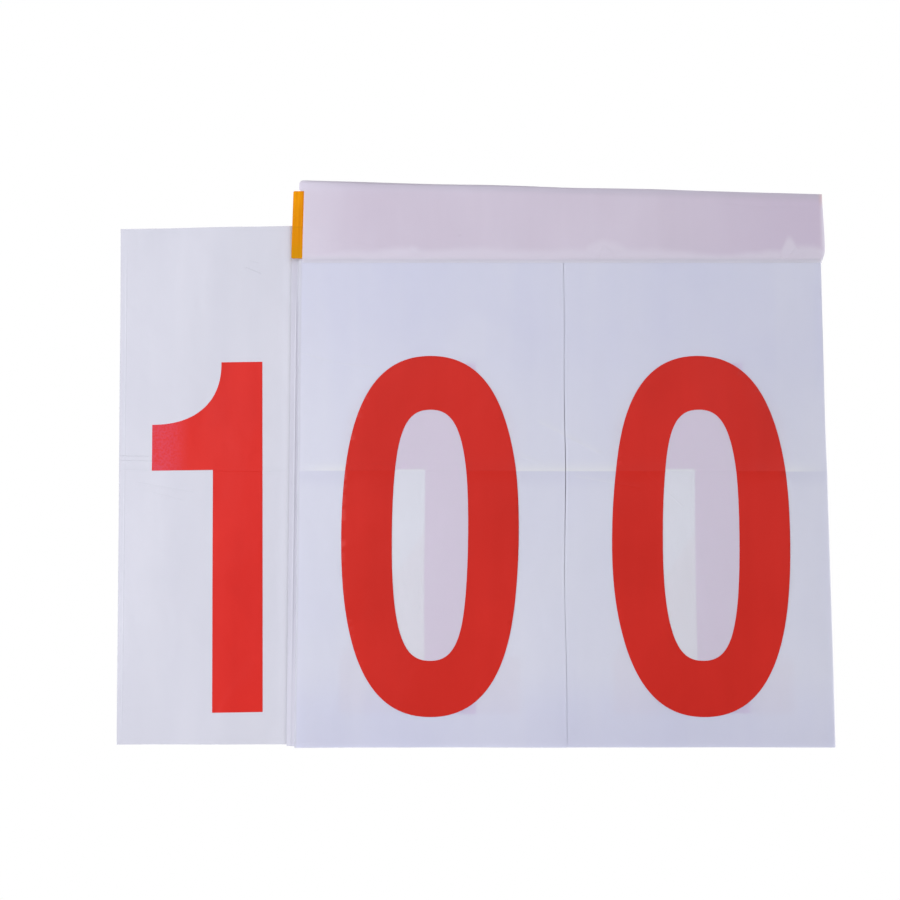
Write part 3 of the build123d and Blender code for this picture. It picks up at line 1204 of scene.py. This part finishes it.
def sleeveFront(x, z, setup=sleeveSetup):
    # how far the front leaf stands forward, in mm
    rise = swell(x, z, setup["waves"]) * ease(z, setup["bottom"], 0.0)
    steady, wavy = setup["flareShares"]
    flare = steady + wavy * math.sin(x / setup["flareLength"])
    rise += setup["flare"] * ease(-z, *setup["flareOver"]) * flare
    up = z - setup["stapleHeight"]
    for spot in setup["staples"]:
        across = x - spot
        away = math.hypot(across / setup["puckerAcross"], up / setup["puckerUp"])
        rise += setup["pucker"] * math.exp(-away * away)
        # two small creases run up and away from each staple
        for turn in (-1, 1):
            off = abs(across * setup["creaseSlope"] - turn * (up - setup["creaseFrom"]))
            fade = math.exp(-abs(across) / setup["creaseReach"])
            rise += setup["crease"] * math.exp(-off * off / setup["creaseSoft"]) * fade
    return rise


def leafHeights(springs, setup=sleeveSetup):
    # from where a leaf springs from the fold down to its edge, closer at the notch
    notch = min(setup["notchTop"] + setup["notchGap"], springs - setup["springGap"])
    below = notch - setup["notchRow"]
    count = setup["leafRows"] - setup["notchRows"] - 1
    lower = [1 - (1 - t) ** setup["crowding"] for t in steps(0.0, 1.0, count)]
    upper = steps(springs, notch, setup["notchRows"])
    return upper + [below + (setup["bottom"] - below) * t for t in lower]


def makeSleeve(setup):
    columns = steps(0.0, 1.0, setup["columns"])
    leaf = setup["leafRows"]
    fold = setup["foldRows"]
    rows = list(range(leaf + fold + leaf + 1))
    thick = setup["frontDepth"] - setup["backDepth"]

    def edges(z, front):
        # the left edge stands back in front, where the strip shows, and has a round corner
        softBelow, softAbove = setup["notchSoft"]
        notch = setup["notchTop"]
        inFront = front * (1 - ease(z, notch - softBelow, notch + softAbove))
        down = (notch - z) / (notch - setup["bottom"])
        stepIn = setup["frontLeft"] - setup["frontSlant"] * down - setup["backLeft"]
        corner = setup["corner"]
        fromTop = min(1.0, max(0.0, (z - (setup["topLeft"] - corner)) / corner))
        left = setup["backLeft"] + stepIn * inFront
        left += corner * (1 - math.sqrt(1 - fromTop * fromTop))
        high = (z - setup["bottom"]) / (setup["topLeft"] - setup["bottom"])
        right = setup["right"] - setup["rightTaper"] * ease(high, *setup["taperOver"])
        right -= setup["rightFoot"] * (1 - ease(high, *setup["footOver"]))
        return left, right

    def place(share, row):
        # loose and round over the strip at the left, drawn tight over its edge at the right
        top = setup["topLeft"] + (setup["topRight"] - setup["topLeft"]) * share
        sway = math.sin(math.pi * share) ** 2 * math.sin(share * setup["topTurns"])
        top += setup["topSway"] * sway
        tighter = setup["foldLeft"] - setup["foldRight"]
        bend = setup["foldLeft"] - tighter * ease(share, *setup["foldOver"])
        springs = top - bend
        heights = leafHeights(springs)
        if row <= leaf:
            z = heights[leaf - row]
            depth = setup["frontDepth"]
        elif row < leaf + fold:
            turn = math.pi * (row - leaf) / fold
            z = springs + bend * math.sin(turn)
            centre = bend if turn > math.pi / 2 else thick - bend
            depth = setup["backDepth"] + centre + bend * math.cos(turn)
        else:
            z = heights[row - leaf - fold]
            depth = setup["backDepth"]
        front = ease(depth, setup["backDepth"], setup["frontDepth"])
        left, right = edges(z, front)
        x = left + (right - left) * share
        # the leaf closes on the sheets below the strip
        below = min(1.0, max(0.0, (setup["barFoot"] - z) / (setup["barFoot"] - setup["bottom"])))
        tuck = setup["barTuck"] * ease(-z, setup["tuckFrom"], -setup["barFoot"])
        tuck += (setup["tuck"] - setup["barTuck"]) * below
        settled = 1 - ease(-z, setup["settleFrom"], -setup["bottom"])
        return Vector((x, -(depth + (sleeveFront(x, z) * settled - tuck) * front), z)) * mm

    bm = filmGrid(columns, rows, place)
    piece = finishPiece("header_film", bm, films["sleeveFilm"])
    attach(piece, "head")
    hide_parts("header_sleeve")


makeSleeve(sleeveSetup)

# the strip and the staples stay the CAD's own solids
for nodeName, material in (("header_bar", stripPlastic), ("binding_staples", stapleWire)):
    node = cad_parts[nodeName]
    node.data.materials.clear()
    node.data.materials.append(material)
print("head made")


# floor, background and light
def mixSurface(tree, factor, first, second, output):
    # shows the first surface where the factor is 0, the second where it is 1
    mix = addNode(tree, "ShaderNodeMixShader")
    tree.links.new(factor, mix.inputs["Fac"])
    tree.links.new(first, mix.inputs[1])
    tree.links.new(second, mix.inputs[2])
    tree.links.new(mix.outputs[0], tree.nodes[output].inputs["Surface"])


# the floor fades to white away from the board
stageSetup = {
    "height": -0.80,
    "radius": 1.05,
    "sides": 96,
    "fadeFrom": 0.45,
    "fadeTo": 1.0,
    "colour": (0.86, 0.86, 0.88, 1),
    "rough": 0.9,
}


def makeFloor(setup):
    bm = bmesh.new()
    bmesh.ops.create_circle(
        bm, cap_ends=True, cap_tris=False, segments=setup["sides"], radius=setup["radius"]
    )
    bmesh.ops.translate(bm, vec=(0, 0, setup["height"]), verts=bm.verts[:])
    mesh = bpy.data.meshes.new("floor")
    bm.to_mesh(mesh)
    bm.free()
    floor = addObject("floor", mesh)
    material, tree, shader = blankMaterial("paleFloor")
    shader.inputs["Base Color"].default_value = setup["colour"]
    shader.inputs["Roughness"].default_value = setup["rough"]
    coords = addNode(tree, "ShaderNodeTexCoord")
    flat = addNode(tree, "ShaderNodeMapping")
    flat.inputs["Scale"].default_value = (1, 1, 0)
    distance = addNode(tree, "ShaderNodeVectorMath", operation="LENGTH")
    tree.links.new(coords.outputs["Object"], flat.inputs["Vector"])
    tree.links.new(flat.outputs["Vector"], distance.inputs[0])
    fade = rangeNode(
        tree, distance.outputs["Value"], setup["fadeFrom"], setup["fadeTo"], 0.0, 1.0, smooth=True
    )
    rays = addNode(tree, "ShaderNodeLightPath").outputs
    seen = times(tree, fade, rays["Is Camera Ray"])
    glow = addNode(tree, "ShaderNodeEmission")
    glow.inputs["Strength"].default_value = 1.0
    mixSurface(tree, seen, shader.outputs[0], glow.outputs[0], "Material Output")
    mesh.materials.append(material)


makeFloor(stageSetup)

# lamps: strong soft ones at the left and behind, weaker ones at the right and in front
lampSetup = {
    "leftSoftbox": {"place": (-1.3, -1.2, -0.05), "size": 1.2, "power": 21.0},
    "rightSoftbox": {"place": (1.4, -1.6, 0.65), "size": 1.3, "power": 10.0},
    "frontSoftbox": {"place": (-0.1, -2.2, 0.7), "size": 1.6, "power": 6.25},
    "backSoftbox": {"place": (0.7, 1.9, 0.5), "size": 1.6, "power": 22.0},
}
lampColour = (0.905, 0.93, 1.0)
lampAim = Vector((-0.07, 0.0, -0.18))


def makeLamps(setup):
    for name, lamp in setup.items():
        data = bpy.data.lights.new(name, "AREA")
        data.shape = "SQUARE"
        data.size = lamp["size"]
        data.energy = lamp["power"]
        data.color = lampColour
        light = addObject(name, data)
        light.location = lamp["place"]
        light.rotation_euler = (lampAim - light.location).to_track_quat("-Z", "Y").to_euler()
        light.visible_camera = False


makeLamps(lampSetup)

# white where it is seen, straight or mirrored, but dim as a light
worldSetup = {"ambient": 0.20, "tint": (0.97, 0.98, 1.0, 1)}


def makeWorld(setup):
    world = bpy.data.worlds.new("studio")
    bpy.context.scene.world = world
    world.use_nodes = True
    tree = world.node_tree
    ambient = tree.nodes["Background"]
    ambient.inputs["Color"].default_value = setup["tint"]
    ambient.inputs["Strength"].default_value = setup["ambient"]
    white = addNode(tree, "ShaderNodeBackground")
    white.inputs["Color"].default_value = (1, 1, 1, 1)
    white.inputs["Strength"].default_value = 1.0
    rays = addNode(tree, "ShaderNodeLightPath").outputs
    mirrored = greater(tree, rays["Is Glossy Ray"], rays["Is Transmission Ray"])
    seen = greater(tree, rays["Is Camera Ray"], mirrored)
    mixSurface(tree, seen, ambient.outputs[0], white.outputs[0], "World Output")


makeWorld(worldSetup)
bpy.context.scene.view_settings.view_transform = "Standard"
print("floor, lamps and background made")
